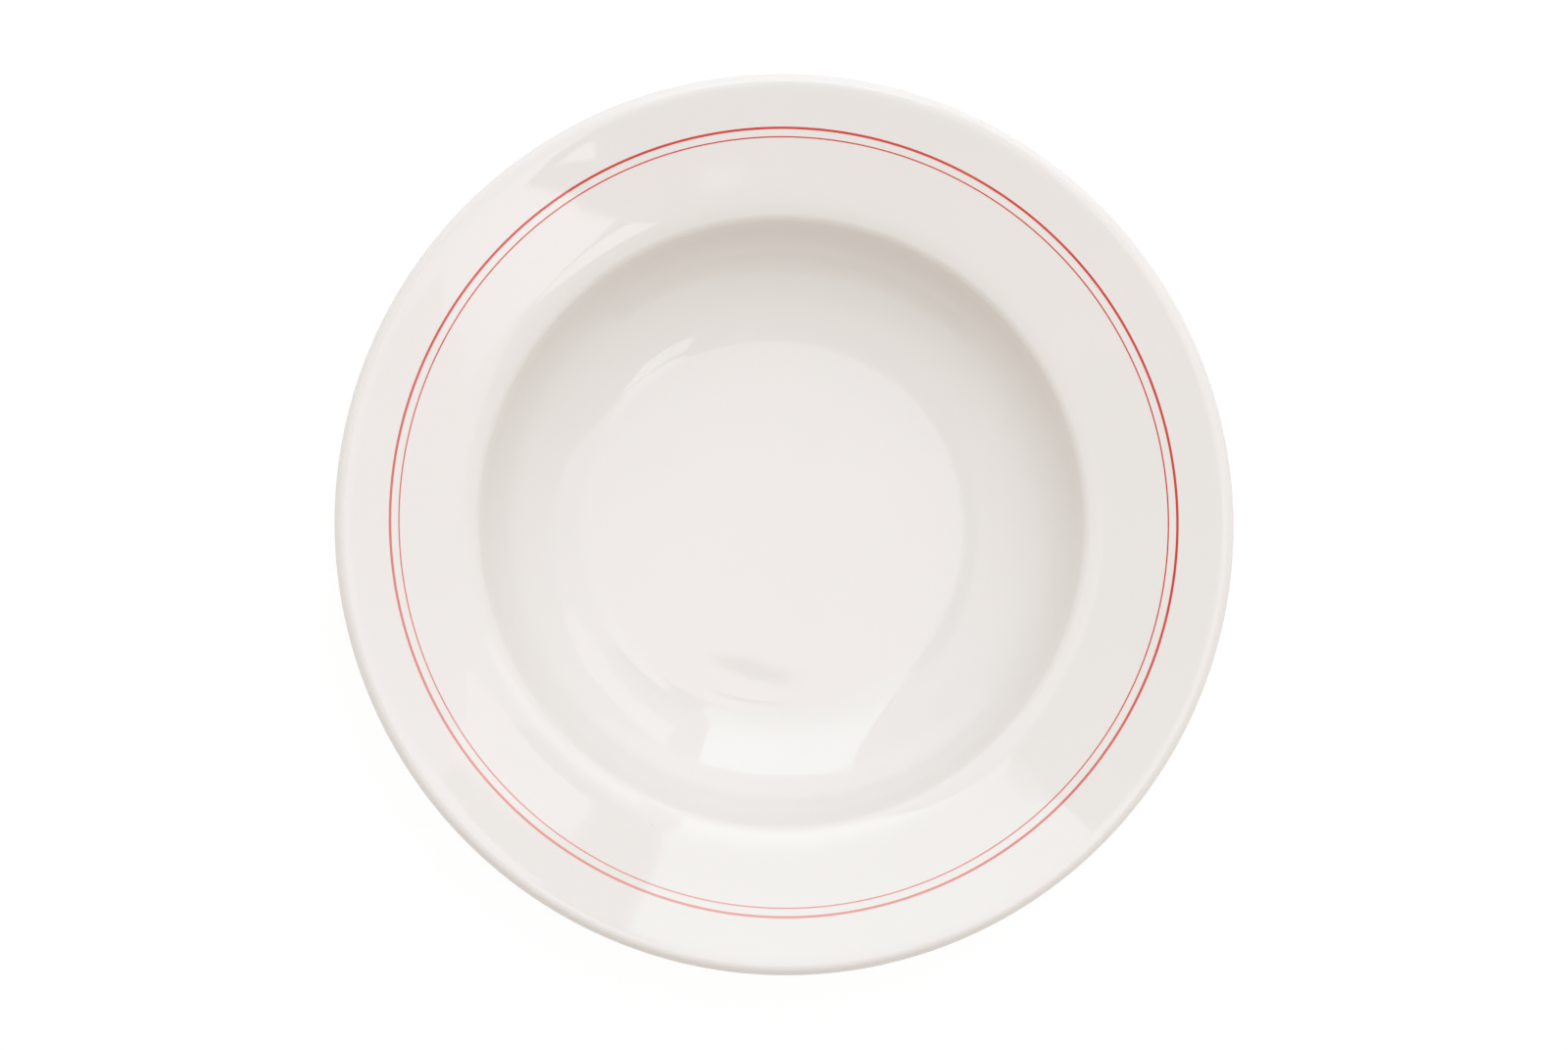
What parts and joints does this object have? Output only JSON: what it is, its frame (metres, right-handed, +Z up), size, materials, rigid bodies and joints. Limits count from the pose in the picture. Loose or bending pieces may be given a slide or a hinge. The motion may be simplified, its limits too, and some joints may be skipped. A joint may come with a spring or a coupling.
{
  "type": "rimmed soup plate",
  "caption": "Round rimmed soup plate of glazed porcelain with a deep well, a rolled edge, a foot ring and two thin red lines around the rim.",
  "frame": {"origin": "middle of the foot ring's resting face", "axes": "+Z up along the plate's axis, out of the well; X and Y are free, since the plate is a full revolve"},
  "size_m": [0.24, 0.24, 0.0377],
  "materials": {
    "bare_porcelain": "fired porcelain without glaze, matt and slightly rough where it shows at the foot",
    "clear_glaze": "clear glossy glaze over white porcelain, slightly uneven",
    "red_line": "red ceramic colour sunk in the glaze, glossy"
  },
  "bodies": {
    "root": {"porcelain_body": "bare_porcelain", "glaze_coat": "clear_glaze", "foot_recess_glaze": "clear_glaze", "outer_red_line": "red_line", "inner_red_line": "red_line"}
  },
  "joints": []
}
